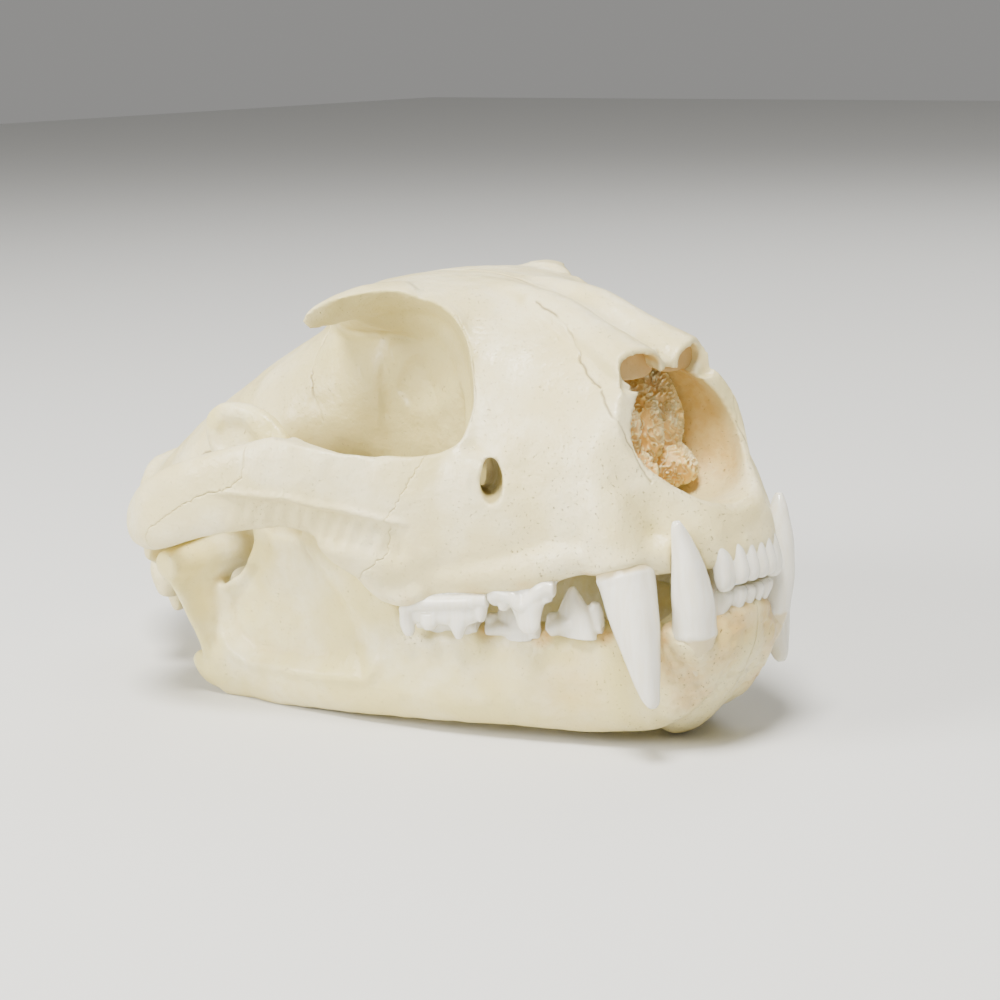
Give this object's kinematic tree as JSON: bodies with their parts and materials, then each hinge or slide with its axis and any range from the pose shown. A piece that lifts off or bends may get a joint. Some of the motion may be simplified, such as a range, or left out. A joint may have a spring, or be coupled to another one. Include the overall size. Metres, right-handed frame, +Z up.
{
  "type": "cougar skull",
  "caption": "Life-size adult cougar skull with its lower jaw closed, resting on the jaw as a still museum model.",
  "frame": {"origin": "on the resting surface, under the middle of the skull's box", "axes": "+X towards the nose, +Y towards the animal's left, +Z up"},
  "size_m": [0.195, 0.1397, 0.1027],
  "materials": {
    "cranium_bone": "cleaned, bleached bone, matt",
    "arch_bone": "cleaned, bleached bone, matt",
    "jaw_bone": "cleaned bone, cream to yellow, satin"
  },
  "bodies": {
    "root": {"cranium": "cranium_bone", "zygomatic_arch_left": "arch_bone", "zygomatic_arch_right": "arch_bone", "mandible_left": "jaw_bone", "mandible_right": "jaw_bone"}
  },
  "joints": []
}
